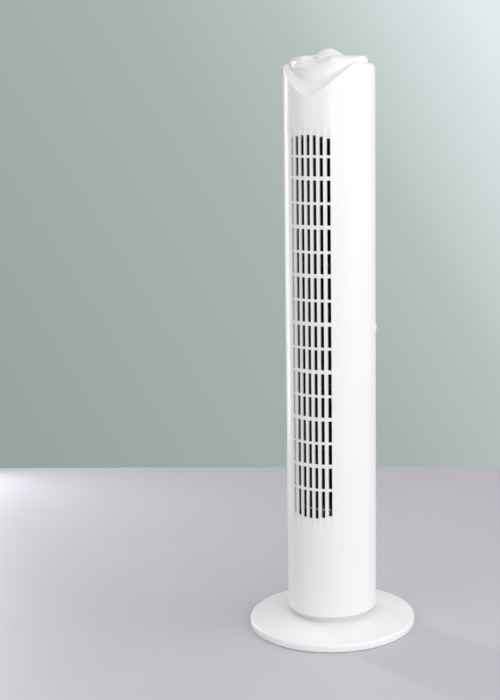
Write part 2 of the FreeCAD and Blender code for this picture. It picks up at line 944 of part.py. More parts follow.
def build_cord_inlet():
    outline = [
        (3.2, 53.4),
        (7.5, 53.4),
        (7.5, 55.2),
        (5, 55.2),
        (5, 58),
        (7.8, 58),
        (7.8, 59.4),
        (6.8, 60.4),
        (3.2, 60.4),
    ]
    made = turned("cord_inlet", outline)
    place(made, 0, 0, INLET_LEVEL, outward(180))
    return made


def build_housing_screws():
    pattern = screw("housing_screw_pattern", 2.9, 1.3, 6.0)
    spots = []
    for level in SCREW_LEVELS:
        for angle in SCREW_ANGLES:
            spots.append(round_point(SEAT_OUT, angle) + (level, outward(angle)))
    return set_of_screws("housing_screws", pattern, spots)


# ---------------------------------------------------------------------- head

SEAM_MIDDLE = 732.3
SEAM_SIDE = 750.4
LID_POSTS = [(40.0, -13.0), (-40.0, -13.0)]
BUTTONS = ["off_button", "low_button", "medium_button", "high_button", "swing_button"]
BUTTON_ANGLES = [124, 152, 180, 208, 236]


def seam_tool(label, above):
    """All that lies above or below the curved line where lid meets pod."""
    shift = -0.2 if above else 0.2
    edge = 800 if above else 660
    outline = [(-55, SEAM_SIDE + shift), (55, SEAM_SIDE + shift), (55, edge), (-55, edge)]
    made = body(label)
    slab(
        made,
        120,
        plane="XZ_Plane",
        middle=True,
        outlines=[outline],
        arcs={0: (0, SEAM_MIDDLE + shift)},
    )
    return made


def build_control_pod():
    foot = S["collar_foot"] - 3
    inner = S["pod_radius"] - S["pod_wall"]
    outline = [
        (0, foot),
        (55.4, foot),
        (55.4, foot + 3),
        (S["pod_radius"], foot + 3),
        (S["pod_radius"], 752),
        (inner, 752),
        (inner, foot + 3),
        (0, foot + 3),
    ]
    blank = body("pod_blank")
    lathe(blank, outline)
    slab(blank, 37, circles=[(x, y, 4.5) for x, y in LID_POSTS], lift=foot + 3)
    ledge = [round_point(29, 118), round_point(29, 242), round_point(36, 242)]
    ledge += [round_point(36, 118)]
    arcs = {0: (0, 29), 2: (0, 36)}
    slab(blank, 15, outlines=[ledge], arcs=arcs, lift=foot + 3)
    wells = [(x, y, 3.1) for x, y in LID_POSTS]
    slab(blank, 34, cut=True, circles=wells, lift=foot)
    bores = [(x, y, 1.7) for x, y in LID_POSTS + POD_POSTS]
    slab(blank, 60, cut=True, circles=bores, lift=foot)
    above = seam_tool("above_seam", True)
    return paired("Part::Cut", "control_pod", blank, above)


def build_pod_screws():
    pattern = screw("pod_screw_pattern", 2.8, 1.25, 12)
    spots = [(x, y, S["collar_foot"], None) for x, y in POD_POSTS]
    return set_of_screws("pod_screws", pattern, spots)


def build_lid_screws():
    pattern = screw("lid_screw_pattern", 2.7, 1.25, 13, flip=True)
    seat = S["collar_foot"] + 31
    spots = [(x, y, seat, None) for x, y in LID_POSTS]
    return set_of_screws("lid_screws", pattern, spots)


def slope_body(label, outline, arcs):
    """A bar of this section, rising towards the middle like the notch."""
    made = body(label)
    sketch = draw(made, "XZ_Plane", [outline], lift=52, arcs=arcs)
    bar = made.newObject("PartDesign::Pad", "Slope")
    bar.Profile = sketch
    bar.UseCustomVector = True
    bar.Direction = V(0, 1, 0.257)
    bar.AlongSketchNormal = False
    bar.Length = 28.5
    doc.recompute()
    return made


def button_frames(grow):
    """Plan outlines of the five button holes."""
    frames = []
    for angle in BUTTON_ANGLES:
        corners = []
        for along, out in ((-5.5, -4.5), (5.5, -4.5), (5.5, 4.5), (-5.5, 4.5)):
            along += math.copysign(grow, along)
            out += math.copysign(grow, out)
            turn = math.radians(angle)
            radius = S["button_ring"].value + out
            x = radius * math.sin(turn) + along * math.cos(turn)
            y = -radius * math.cos(turn) + along * math.sin(turn)
            corners.append((x, y))
        frames.append(corners)
    return frames


def build_control_lid():
    rim = S["pod_radius"]
    inner = rim - S["pod_wall"]
    top = S["lid_top"]
    dish = [
        (rim, 728),
        (rim, top - 5),
        (rim - 5, top),
        (S["well_radius"] + 1.2, top),
        (S["well_radius"], top - 1.2),
        (S["well_radius"], S["lid_floor"]),
    ]
    crown = {1: (rim.value - 1.464, top.value - 1.464)}
    under = [
        (4.5, S["lid_floor"]),
        (4.5, LID_UNDER),
        (S["well_radius"] + 2.5, LID_UNDER),
        (S["well_radius"] + 2.5, PLATE_UNDER),
        (rim - 5, PLATE_UNDER),
        (inner, top - 5.4),
        (inner, 728),
    ]
    shell = body("lid_shell")
    lathe(shell, dish + under, crown)
    for frame in button_frames(0.3):
        slab(shell, 10, cut=True, outlines=[frame], lift=PLATE_UNDER - 3)
    height = PLATE_UNDER + 0.4 - 727
    slab(shell, height, circles=[(x, y, 4.5) for x, y in LID_POSTS], lift=727)
    holes = [(x, y, 1.3) for x, y in LID_POSTS]
    slab(shell, 9, cut=True, circles=holes, lift=727)
    envelope = body("lid_envelope")
    lathe(envelope, [(0, 720), (rim, 720)] + dish[1:] + [(0, S["lid_floor"])], {2: crown[1]})
    start = 737.8
    side = start + 13
    bed = [(-26, side - 2.4), (26, side - 2.4), (26, side + 2), (-26, side + 2)]
    bed = slope_body("notch_bed", bed, {0: (0, start - 2.4)})
    bed = paired("Part::Common", "notch_bed_trimmed", bed, envelope)
    lid = combined("Part::MultiFuse", "lid_fused", [shell, bed])
    notch = [(-26, side), (26, side), (26, side + 20), (-26, side + 20)]
    notch = slope_body("notch_cutter", notch, {0: (0, start)})
    lid = paired("Part::Cut", "lid_notched", lid, notch)
    below = seam_tool("below_seam", False)
    posts = body("below_seam_posts")
    keep_posts = [(x, y, 4.6) for x, y in LID_POSTS]
    slab(posts, 60, circles=keep_posts, lift=727)
    trimmed = paired("Part::Cut", "below_seam_trimmed", below, posts)
    return paired("Part::Cut", "control_lid", lid, trimmed)


def build_timer_body():
    bore = S["spindle_radius"] + GAP
    outline = [(0, -28), (20, -28), (20, -4), (12, 0), (bore, 0), (bore, -13), (0, -13)]
    made = body("timer_body", z=LID_UNDER)
    lathe(made, outline)
    return made


def build_switch_block():
    made = body("switch_block", z=S["collar_foot"] + 15)
    block = [round_point(27, 116), round_point(27, 244), round_point(39, 244)]
    block += [round_point(39, 116)]
    slab(made, 22, outlines=[block], arcs={0: (0, 27), 2: (0, 39)})
    return made


def build_capacitor():
    made = body("capacitor", x=0, y=-34, z=S["bulkhead_foot"] - 16)
    slab(made, 16, outlines=[rectangle(-18, 18, -7, 7)])
    soften(made, 2, lambda p: abs(p.z) < 0.01)
    return made


def build_timer_knob():
    bore = S["spindle_radius"] + GAP
    foot = S["lid_floor"] + 0.8
    edge = S["knob_radius"]
    outline = [
        (bore, foot + 0.7),
        (6, foot + 0.7),
        (6, foot + 9.4),
        (12, 752.6),
        (17.5, 749.8),
        (edge - 2, 748.2),
        (edge - 2, foot),
        (edge, foot),
        (edge, 750.0),
        (19.5, 751.1),
        (17, 752.4),
        (12.6, 755),
        (10.9, 756.35),
        (9, 757.5),
        (5, 758.95),
        (2, S["knob_top"]),
        (0, S["knob_top"]),
        (0, 753),
        (bore, 753),
    ]
    arcs = {8: (20.9, 750.3)}
    return turned("timer_knob", outline, arcs)


def build_knob_spindle():
    size = S["spindle_radius"]
    outline = [(0, 729), (size, 729), (size, 753), (0, 753)]
    return turned("knob_spindle", outline)


def build_button(label, angle):
    x, y = round_point(S["button_ring"].value, angle)
    made = body(label)
    turn = FreeCAD.Rotation(UP, angle)
    made.Placement = FreeCAD.Placement(V(x, y, 0), turn)
    bind(made, "Placement.Base.z", PLATE_UNDER)
    slab(made, 2, outlines=[rectangle(-6.7, 6.7, -6.1, 6.1)], lift=-2.1)
    slab(made, 3.1, outlines=[rectangle(-5.5, 5.5, -4.5, 4.5)], lift=-0.1)
    slab(made, 15, outlines=[rectangle(-3, 3, -2.5, 2.5)], lift=-17.1)
    soften(made, 0.8, lambda p: abs(p.z - 3) < 0.01)
    return made


# ------------------------------------------------------------------ assembly

def build_all():
    makers = [
        build_base_cover,
        build_base_bottom,
        build_base_weight,
        build_rubber_feet,
        build_base_screws,
        build_pivot_post,
        build_post_screws,
        build_slip_ring,
        build_swing_yoke,
        build_retaining_ring,
        build_turntable,
        build_lower_bulkhead,
        build_upper_bulkhead,
        build_swing_motor,
        build_swing_motor_screws,
        build_swing_crank,
        build_motor_housing,
        build_motor_screws,
        build_motor_stator,
        build_motor_rotor,
        build_motor_bearings,
        build_air_duct,
        build_duct_tongue,
        build_bearing_rubber,
        build_bearing_bush,
        build_impeller_coupling,
        build_impeller,
        build_top_pin,
        build_front_housing,
        build_rear_housing,
        build_seam_clips,
        build_cord_inlet,
        build_housing_screws,
        build_control_pod,
        build_pod_screws,
        build_lid_screws,
        build_control_lid,
        build_timer_body,
        build_switch_block,
        build_capacitor,
        build_timer_knob,
        build_knob_spindle,
    ]
    made = [maker() for maker in makers]
    for label, angle in zip(BUTTONS, BUTTON_ANGLES):
        made.append(build_button(label, angle))
    return made


def check_and_export(made):
    doc.recompute()
    for thing in doc.Objects:
        if "Invalid" in thing.State or "Error" in thing.State:
            raise RuntimeError("%s (%s) did not build" % (thing.Label, thing.Name))
    for thing in made:
        shape = thing.Shape
        if shape.isNull() or not shape.isValid():
            raise RuntimeError("%s has no valid shape" % thing.Label)
        shape.exportStep("parts/%s.step" % thing.Label)


check_and_export(build_all())
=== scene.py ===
import json
import math
import bmesh
import bpy
from mathutils import Matrix, Vector


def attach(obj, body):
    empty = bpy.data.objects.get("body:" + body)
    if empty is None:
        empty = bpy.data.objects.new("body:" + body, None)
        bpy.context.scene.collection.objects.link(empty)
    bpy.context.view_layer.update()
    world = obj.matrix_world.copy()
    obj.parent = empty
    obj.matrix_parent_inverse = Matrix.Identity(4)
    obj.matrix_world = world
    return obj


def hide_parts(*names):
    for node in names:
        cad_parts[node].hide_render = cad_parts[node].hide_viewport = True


# Tower fan: its visible mouldings rebuilt as fine meshes over the CAD frame.
# Shapes are written in millimetres. Angles round the tower are measured from
# the front (-Y), positive towards +X.

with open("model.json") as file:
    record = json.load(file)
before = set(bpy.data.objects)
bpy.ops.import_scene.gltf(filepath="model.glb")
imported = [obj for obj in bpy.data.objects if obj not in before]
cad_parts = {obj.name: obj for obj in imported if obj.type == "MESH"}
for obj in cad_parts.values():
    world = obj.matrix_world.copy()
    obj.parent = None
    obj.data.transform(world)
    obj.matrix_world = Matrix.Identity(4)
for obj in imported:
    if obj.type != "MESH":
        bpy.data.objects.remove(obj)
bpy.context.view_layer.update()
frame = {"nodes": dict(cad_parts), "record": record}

MM = 0.001
SHELL = 58.8          # outer radius of the tower's wall
SHELL_IN = 56.4       # its inner radius
COLLAR = 49.52        # radius of the hole at the tower's top
WALL_FOOT = 25.6      # height of the wall's lower edge
WALL_TOP = 688.0      # height up to which the wall is a plain cylinder
SHOULDER = 741.0      # top of the wall's rounded shoulder
SHOULDER_ROUND = 8.0
SHOULDER_IN = SHELL - SHOULDER_ROUND
SLOTS = 7
SLOT = 4.8            # width of a slot
SLOT_PITCH = 8.5
SLOT_BOW = 1 / 150    # how fast the slots' ends draw in away from the middle one
SLOT_LEAD = 10.5      # length of the tapered groove above a slot's end
LIP_DEPTH = 1.9       # how far a slot's lip and its tapered grooves go in
POD = 49.4            # outer radius of the control pod and its lid
SEAM_GAP = 0.04       # each side of the joint between pod and lid
LID_TOP = 750.0
LID_ROUND = 5.0
LID_BLEND = 1.6       # softness of the fold where two of its faces meet
VALLEY_ROUND = 32.5
CAP_TOP = 750.5       # top of the button caps
PRINT = 0.03          # thickness of a printed mark
DIAL_START, DIAL_SWEEP = 55.0, 250.0
POINTER_AT = 305.0
BUTTON_RING = 35.5
NEAR = 0.01           # heights closer than this are the same row
BUTTON_ANGLES = (124, 152, 180, 208, 236)
BUTTONS = ("off_button", "low_button", "medium_button", "high_button", "swing_button")


# ------------------------------------------------------------------ materials

def node_material(name):
    """Material with nodes on, its node tree and its shader."""
    material = bpy.data.materials.new(name)
    material.use_nodes = True
    tree = material.node_tree
    shader = tree.nodes["Principled BSDF"]
    return material, tree, shader


def add_noise(tree, scale, detail=3.0, rough=0.5):
    place = tree.nodes.new("ShaderNodeTexCoord")
    noise = tree.nodes.new("ShaderNodeTexNoise")
    noise.inputs["Scale"].default_value = scale
    noise.inputs["Detail"].default_value = detail
    noise.inputs["Roughness"].default_value = rough
    tree.links.new(place.outputs["Object"], noise.inputs["Vector"])
    return noise


def add_ramp(tree, factor, low, high, start=0.35, end=0.65):
    ramp = tree.nodes.new("ShaderNodeValToRGB")
    ramp.color_ramp.elements[0].position = start
    ramp.color_ramp.elements[1].position = end
    ramp.color_ramp.elements[0].color = low
    ramp.color_ramp.elements[1].color = high
    tree.links.new(factor, ramp.inputs["Fac"])
    return ramp


def add_bump(tree, shader, height, strength, distance):
    bump = tree.nodes.new("ShaderNodeBump")
    bump.inputs["Strength"].default_value = strength
    bump.inputs["Distance"].default_value = distance
    tree.links.new(height, bump.inputs["Height"])
    tree.links.new(bump.outputs["Normal"], shader.inputs["Normal"])


def surface(name, low, high, rough, grain, bump=0.1, metal=0.0):
    """Colour drifting between two close tones, uneven gloss and a fine grain."""
    material, tree, shader = node_material(name)
    drift = add_noise(tree, 9.0, 4.0)
    tone = add_ramp(tree, drift.outputs["Fac"], low + (1,), high + (1,))
    tree.links.new(tone.outputs["Color"], shader.inputs["Base Color"])
    wear = add_noise(tree, 38.0, 5.0, 0.6)
    gloss = tree.nodes.new("ShaderNodeMapRange")
    gloss.inputs["From Min"].default_value = 0.3
    gloss.inputs["From Max"].default_value = 0.7
    gloss.inputs["To Min"].default_value = rough[0]
    gloss.inputs["To Max"].default_value = rough[1]
    tree.links.new(wear.outputs["Fac"], gloss.inputs["Value"])
    tree.links.new(gloss.outputs["Result"], shader.inputs["Roughness"])
    fine = add_noise(tree, grain, 2.0)
    add_bump(tree, shader, fine.outputs["Fac"], bump, 0.0001)
    shader.inputs["Metallic"].default_value = metal
    return material


def glossy_white():
    """Smooth moulded plastic: almost even, with a faint ripple in its gloss."""
    material, tree, shader = node_material("white_plastic")
    drift = add_noise(tree, 6.0, 1.0)
    low, high = (0.827, 0.827, 0.828, 1), (0.832, 0.832, 0.833, 1)
    tone = add_ramp(tree, drift.outputs["Fac"], low, high, 0.0, 1.0)
    tree.links.new(tone.outputs["Color"], shader.inputs["Base Color"])
    gloss = tree.nodes.new("ShaderNodeMapRange")
    gloss.inputs["To Min"].default_value = 0.285
    gloss.inputs["To Max"].default_value = 0.315
    tree.links.new(drift.outputs["Fac"], gloss.inputs["Value"])
    tree.links.new(gloss.outputs["Result"], shader.inputs["Roughness"])
    ripple = add_noise(tree, 90.0, 0.0)
    add_bump(tree, shader, ripple.outputs["Fac"], 0.03, 0.0003)
    return material


WHITE = glossy_white()
TRAY = surface("tray_plastic", (0.60, 0.60, 0.59), (0.66, 0.66, 0.65), (0.5, 0.62), 700.0, 0.25)
BLACK = surface("black_plastic", (0.012, 0.011, 0.010), (0.02, 0.018, 0.017), (0.45, 0.6), 700.0, 0.3)
NATURAL = surface("natural_plastic", (0.55, 0.5, 0.4), (0.62, 0.57, 0.46), (0.4, 0.5), 500.0, 0.2)
STEEL = surface("steel", (0.45, 0.45, 0.46), (0.58, 0.58, 0.58), (0.28, 0.42), 300.0, 0.2, metal=1.0)
CAN = surface("painted_steel", (0.16, 0.17, 0.17), (0.2, 0.2, 0.21), (0.35, 0.5), 400.0, 0.2)
IRON = surface("motor_iron", (0.05, 0.05, 0.052), (0.09, 0.09, 0.09), (0.5, 0.65), 300.0, 0.4, metal=0.6)
BRONZE = surface("bronze", (0.38, 0.24, 0.1), (0.46, 0.3, 0.14), (0.35, 0.5), 600.0, 0.2, metal=1.0)
RUBBER = surface("rubber", (0.015, 0.015, 0.015), (0.03, 0.03, 0.03), (0.7, 0.85), 800.0, 0.4)
CAPACITOR = surface("capacitor_shell", (0.02, 0.022, 0.028), (0.03, 0.032, 0.04), (0.3, 0.4), 300.0, 0.1)
INK = surface("grey_print", (0.08, 0.08, 0.085), (0.11, 0.11, 0.115), (0.45, 0.55), 900.0, 0.1)

SLOT_LOOKS = {
    "white_plastic": WHITE,
    "tray_plastic": TRAY,
    "black_plastic": BLACK,
    "natural_plastic": NATURAL,
    "steel": STEEL,
    "painted_steel": CAN,
    "motor_iron": IRON,
    "bronze": BRONZE,
    "rubber": RUBBER,
    "capacitor_shell": CAPACITOR,
}


def dress_frame():
    """Give every CAD node its slot's finish and smooth its curved faces."""
    for part in frame["record"]["subparts"]:
        piece = frame["nodes"][part["node"]]
        piece.data.materials.clear()
        piece.data.materials.append(SLOT_LOOKS[part["material_slot"]])
        piece.data.shade_smooth()
        piece.data.set_sharp_from_angle(angle=math.radians(28))


# ----------------------------------------------------------------- mesh tools

def spot(radius, degrees, z):
    """Point on a circle round the tower's axis."""
    turn = math.radians(degrees)
    return (radius * math.sin(turn), -radius * math.cos(turn), z)


def piece_from(name, points, faces, material, sharp=40.0):
    """Object from millimetre points, with its faces turned outwards."""
    mesh = bpy.data.meshes.new(name)
    mesh.from_pydata([Vector(p) * MM for p in points], [], faces)
    work = bmesh.new()
    work.from_mesh(mesh)
    bmesh.ops.recalc_face_normals(work, faces=work.faces[:])
    work.to_mesh(mesh)
    work.free()
    mesh.shade_smooth()
    mesh.set_sharp_from_angle(angle=math.radians(sharp))
    made = bpy.data.objects.new(name, mesh)
    bpy.context.scene.collection.objects.link(made)
    mesh.materials.append(material)
    return made


def soften_edges(piece, width):
    """Narrow bevel on every hard edge, so that it catches the light."""
    bevel = piece.modifiers.new("soft_edges", "BEVEL")
    bevel.width = width * MM
    bevel.segments = 2
    bevel.limit_method = "ANGLE"
    bevel.angle_limit = math.radians(50)
    bevel.harden_normals = True


def smooth_min(a, b, size):
    """The lower of two values, blended over size where they meet."""
    share = min(1.0, max(0.0, 0.5 + 0.5 * (b - a) / size))
    return b + (a - b) * share - size * share * (1 - share)


def corner(before, at, after, size):
    """Points that round one corner of an (r, z) path."""
    out = []
    steps = 3
    before, at, after = Vector(before), Vector(at), Vector(after)
    into = before - at
    away = after - at
    start = at + into.normalized() * min(size, into.length * 0.48)
    end = at + away.normalized() * min(size, away.length * 0.48)
    for step in range(steps + 1):
        t = step / steps
        p = start * (1 - t) ** 2 + at * 2 * t * (1 - t) + end * t * t
        out.append((p.x, p.y))
    return out


def rounded(path, sizes):
    """Round the numbered corners of a path; sizes maps index to size."""
    out = []
    for i, at in enumerate(path):
        if i not in sizes:
            out.append(tuple(at))
            continue
        out += corner(path[i - 1], at, path[(i + 1) % len(path)], sizes[i])
    return out


def ring(name, path_at, material, count=180):
    """Closed loop of (r, z) sections, one per angle, all round the axis."""
    points, faces = [], []
    sections = [path_at(360.0 * k / count) for k in range(count)]
    size = len(sections[0])
    for k, section in enumerate(sections):
        points += [spot(r, 360.0 * k / count, z) for r, z in section]
    for k in range(count):
        a, b = k * size, (k + 1) % count * size
        for i in range(size):
            n = (i + 1) % size
            faces.append((a + i, a + n, b + n, b + i))
    return piece_from(name, points, faces, material)


def lathe(name, path, material, count=128, sharp=40.0):
    """Solid of revolution; points on the axis close it."""
    points, faces, rows = [], [], []
    for r, z in path:
        if r < 1e-6:
            rows.append([len(points)])
            points.append((0, 0, z))
        else:
            rows.append(list(range(len(points), len(points) + count)))
            points += [spot(r, 360.0 * k / count, z) for k in range(count)]
    for a, b in zip(rows, rows[1:] + rows[:1]):
        if len(a) == 1 and len(b) == 1:
            continue
        for k in range(count):
            n = (k + 1) % count
            face = (a[k % len(a)], a[n % len(a)], b[n % len(b)], b[k % len(b)])
            faces.append(tuple(dict.fromkeys(face)))
    return piece_from(name, points, faces, material, sharp)


# --------------------------------------------------------------------- shells

# Heights (angle from the front, z) of the sweeping bevel's outer and inner edges.
SMILE_OUT = [
    (0, 698.8), (9, 701.9), (18, 707.7), (27, 714.6), (36, 721.8), (44, 728.3),
    (57, 736.8), (66, 742.4), (75, 749), (120, 790),
]
SMILE_IN = [
    (0, 718.6), (9, 719.3), (17, 721.0), (29, 725.4), (39, 730.6), (52, 737.0),
    (65.6, 742.6), (75, 746.8), (120, 767),
]


def table_at(table, angle):
    """Smooth value of a symmetric table of heights at an angle."""
    angle = abs(angle)
    points = [(-a, z) for a, z in table[2:0:-1]] + table
    for i in range(1, len(points) - 2):
        (a0, z0), (a1, z1), (a2, z2), (a3, z3) = points[i - 1:i + 3]
        if a1 <= angle <= a2:
            t = (angle - a1) / (a2 - a1)
            m1 = (z2 - z0) / (a2 - a0) * (a2 - a1)
            m2 = (z3 - z1) / (a3 - a1) * (a2 - a1)
            cubic = (2 * t**3 - 3 * t**2 + 1) * z1 + (t**3 - 2 * t**2 + t) * m1
            return cubic + (3 * t**2 - 2 * t**3) * z2 + (t**3 - t**2) * m2
    return points[-1][1]


# The wall's rounded lower edge, (r, z).
WALL_EDGE = [(57.2, WALL_FOOT), (57.98, 25.8), (58.58, 26.4), (SHELL, 27.2)]


def shoulder_height(r):
    if r > SHOULDER_IN:
        rise = math.sqrt(max(0.0, SHOULDER_ROUND ** 2 - (r - SHOULDER_IN) ** 2))
        return SHOULDER - SHOULDER_ROUND + rise
    return SHOULDER + (SHOULDER_IN - r) * 0.3


def crown_path(angle):
    """(r, z) points over the shell's top, from the wall to the pod's gap."""
    radii = [SHOULDER_IN + SHOULDER_ROUND * math.cos(math.radians(t)) for t in range(0, 91, 9)]
    radii += [50.2, COLLAR]
    low, high = table_at(SMILE_OUT, angle), table_at(SMILE_IN, angle)
    path = []
    for r in radii:
        share = (SHELL - r) / 9.4
        path.append((r, smooth_min(shoulder_height(r), low + (high - low) * share, 1.6)))
    return path


def grille_rows(spans):
    """Heights that the slots' ends and grooves need, and where the grooves fade out."""
    tops = {round(top, 3) for foot, top in spans}
    feet = {round(foot, 3) for foot, top in spans}
    high, low = max(tops), min(feet)
    marks = tops | feet
    marks |= {high + SLOT_LEAD * part for part in (0.25, 0.5, 0.75, 1.0)}
    marks |= {low - SLOT_LEAD * part * 1.6 for part in (0.25, 0.5, 0.75, 1.0)}
    marks |= {60.0, 100.0, 676.0, WALL_TOP}
    marks |= {200.0 + 31.0 * k for k in range(14)}
    return sorted(marks), (low - SLOT_LEAD * 1.6, high + SLOT_LEAD)


def wall_angle(x, radius=SHELL):
    """Angle at which the wall stands x to the side of the middle."""
    return math.degrees(math.asin(x / radius))


def wall_columns(centres):
    """(outer, inner) angles of the wall's sections: slot edges, bars, plain sides."""
    half_angle, widest_step = 114.85, 2.4
    columns = []
    for l in centres:
        for x in (l - SLOT / 2, l + SLOT / 2):
            columns.append((wall_angle(x), wall_angle(x, SHELL_IN)))
        columns.append((wall_angle(l + SLOT_PITCH / 2),) * 2)
    columns.pop()
    edge = columns[-1][0]
    steps = int((half_angle - edge) / widest_step)
    for k in range(1, steps + 1):
        angle = edge + (half_angle - edge) * k / steps
        columns += [(angle, angle), (-angle, -angle)]
    return sorted(columns)


def wall_section(outer, inner, rows):
    """Points round the wall's section: up its face, over the crown, down its inside."""
    crown = crown_path(outer)
    reach = crown[0][1]
    top = [(SHELL, WALL_TOP + (reach - WALL_TOP) * t) for t in (0.3, 0.6, 0.85)]
    bend = len(top)
    top += crown
    top = rounded(top, {bend: 1.1, len(top) - 1: 0.5})
    drop = [(COLLAR, crown[-1][1] - 4), (COLLAR, 690), (SHELL_IN, 690)]
    section = [spot(r, outer, z) for r, z in WALL_EDGE]
    section += [spot(SHELL, outer, z) for z in rows]
    section += [spot(r, outer, z) for r, z in top + drop]
    section += [spot(SHELL_IN, inner, z) for z in reversed(rows)]
    section.append(spot(SHELL_IN, inner, WALL_FOOT))
    return section


def wall_strip(faces, pair, rows, cell, fades):
    """Wall between two sections, left open where a slot goes through."""
    a, b = pair
    size = len(a)

    def within(k, low, high):
        """Whether the step above row k lies between two heights."""
        if not 0 <= k < len(rows) - 1:
            return False
        return rows[k] >= low - NEAR and rows[k + 1] <= high + NEAR

    for i in range(size):
        n = (i + 1) % size
        outer_k, inner_k = i - len(WALL_EDGE), size - 3 - i
        if cell and (within(outer_k, *fades) or within(inner_k, *cell)):
            continue
        faces.append((a[i], a[n], b[n], b[i]))


def groove_depth(z, cell, fades):
    """Depth of a slot's lip, or of the groove that fades out past its ends."""
    if z > cell[1]:
        return LIP_DEPTH * max(0.0, (fades[1] - z) / (fades[1] - cell[1])) ** 1.2
    if z < cell[0]:
        return LIP_DEPTH * max(0.0, (z - fades[0]) / (cell[0] - fades[0])) ** 1.2
    return LIP_DEPTH


def cut_slot(points, faces, pair, rows, cell, fades):
    """Sides, ends and grooves of the slot between two sections of the wall."""
    floor = {}

    def outer_at(side, k):
        return pair[side][len(WALL_EDGE) + k]

    def inner_at(side, k):
        return pair[side][len(pair[side]) - 2 - k]

    def floor_at(side, k):
        """Groove floor behind the wall's face; the face itself where it has faded."""
        if (side, k) not in floor:
            floor[side, k] = outer_at(side, k)
            sunk = groove_depth(rows[k], cell, fades)
            if sunk >= 0.02:
                x, y, z = points[outer_at(side, k)]
                points.append((x, y + sunk, z))
                floor[side, k] = len(points) - 1
        return floor[side, k]

    for k in range(len(rows) - 1):
        z0, z1 = rows[k], rows[k + 1]
        if z0 < fades[0] - NEAR or z1 > fades[1] + NEAR:
            continue
        hole = z0 >= cell[0] - NEAR and z1 <= cell[1] + NEAR
        at_foot = hole and abs(z0 - cell[0]) < NEAR
        at_top = hole and abs(z1 - cell[1]) < NEAR
        for side in (0, 1):
            face = [outer_at(side, k), outer_at(side, k + 1)]
            if at_top or not hole:
                face.append(floor_at(side, k + 1))
            if hole:
                face += [inner_at(side, k + 1), inner_at(side, k)]
            if at_foot or not hole:
                face.append(floor_at(side, k))
            face = list(dict.fromkeys(face))
            if len(face) > 2:
                faces.append(tuple(face))
        if not hole:
            quad = [floor_at(0, k), floor_at(1, k), floor_at(1, k + 1), floor_at(0, k + 1)]
            faces.append(tuple(dict.fromkeys(quad)))
        for row, reached in ((k, at_foot), (k + 1, at_top)):
            if reached:
                faces.append((floor_at(0, row), floor_at(1, row), inner_at(1, row), inner_at(0, row)))


def build_front_shell():
    """The tower's front wall, with slots cut straight in along Y."""
    centres = [(k - (SLOTS - 1) / 2) * SLOT_PITCH for k in range(SLOTS)]
    spans = [(158.1 + l * l * SLOT_BOW, 651.4 - l * l * SLOT_BOW) for l in centres]
    rows, fades = grille_rows(spans)
    columns = wall_columns(centres)

    points, faces, sections = [], [], []
    for outer, inner in columns:
        section = wall_section(outer, inner, rows)
        sections.append(range(len(points), len(points) + len(section)))
        points += section

    cells = {}
    for l, (low, high) in zip(centres, spans):
        angle = wall_angle(l - SLOT / 2)
        left = min(range(len(columns)), key=lambda j: abs(columns[j][0] - angle))
        cells[left] = (round(low, 3), round(high, 3))

    for j, pair in enumerate(zip(sections, sections[1:])):
        cell = cells.get(j)
        wall_strip(faces, pair, rows, cell, fades)
        if cell:
            cut_slot(points, faces, pair, rows, cell, fades)
    faces.append(tuple(sections[0]))
    faces.append(tuple(reversed(sections[-1])))

    add_ribs(points, faces)
    made = piece_from("front_shell", points, faces, WHITE, 32.0)
    soften_edges(made, 0.3)
    return made


def add_ribs(points, faces):
    """Fifteen cross ribs, thin and thick by turns, set back from the bars."""
    half, steps = 29.4, 24
    for number in range(15):
        height = 5.0 if number % 2 else 3.5
        low = 194.9 + 30.77 * number
        if number == 14:
            low -= 2.9  # the top rib sits closer to the one below it
        section = [(56.5, low), (57.5, low), (57.9, low + 0.35), (58.0, low + 0.8)]
        section += [(r, 2 * low + height - z) for r, z in reversed(section)]
        loops = []
        for k in range(steps + 1):
            angle = -half + 2 * half * k / steps
            loops.append(range(len(points), len(points) + len(section)))
            points += [spot(r, angle, z) for r, z in section]
        for a, b in zip(loops, loops[1:]):
            for i in range(len(section)):
                n = (i + 1) % len(section)
                faces.append((a[i], a[n], b[n], b[i]))
        faces.append(tuple(loops[0]))
        faces.append(tuple(reversed(loops[-1])))


def build_base_cover():
    """Round foot: upright rim, low dome, raised ring that the tower turns on."""
    dome_out, ring_out, dome_foot, dome_rise, steps = 107.6, 51.5, 9.6, 10.0, 14
    dome = []
    for k in range(1, steps):
        t = k / steps
        r = dome_out - (dome_out - ring_out) * t
        dome.append((r, dome_foot + dome_rise * (1.36 * t - 0.36 * t * t)))
    path = [(107.4, 0.6), (110, 0.6), (110, dome_foot)] + dome
    path += [(ring_out, 19.6), (ring_out, 24.0), (20, 24.0), (20, 21.6), (49, 21.6)]
    path += [(49, 17.2), (107.4, 6.4)]
    size = len(path)
    sizes = {1: 0.5, 2: 2.6, size - 7: 0.6, size - 6: 0.8}
    return lathe("base_shell", rounded(path, sizes), WHITE, 192)


def seam_height(x):
    """Height of the joint between pod and lid: lowest in the middle."""
    return 732.3 + 92.6 - math.sqrt(92.6 ** 2 - x * x)


def pod_path(angle):
    """Section of the pod's wall, which stops just under the seam."""
    seam = seam_height(POD * math.sin(math.radians(angle))) - SEAM_GAP
    path = [(47.3, 705), (POD, 705), (POD, seam - 4), (POD, seam), (47.3, seam)]
    path += [(47.3, seam - 4)]
    return rounded(path, {3: 0.25})


def valley_height(x, y):
    """The shallow dip that runs forward from the knob."""
    side_rise = VALLEY_ROUND - math.sqrt(max(0.0, VALLEY_ROUND ** 2 - x * x))
    return 737.8 + (y + 52) * 0.257 + side_rise


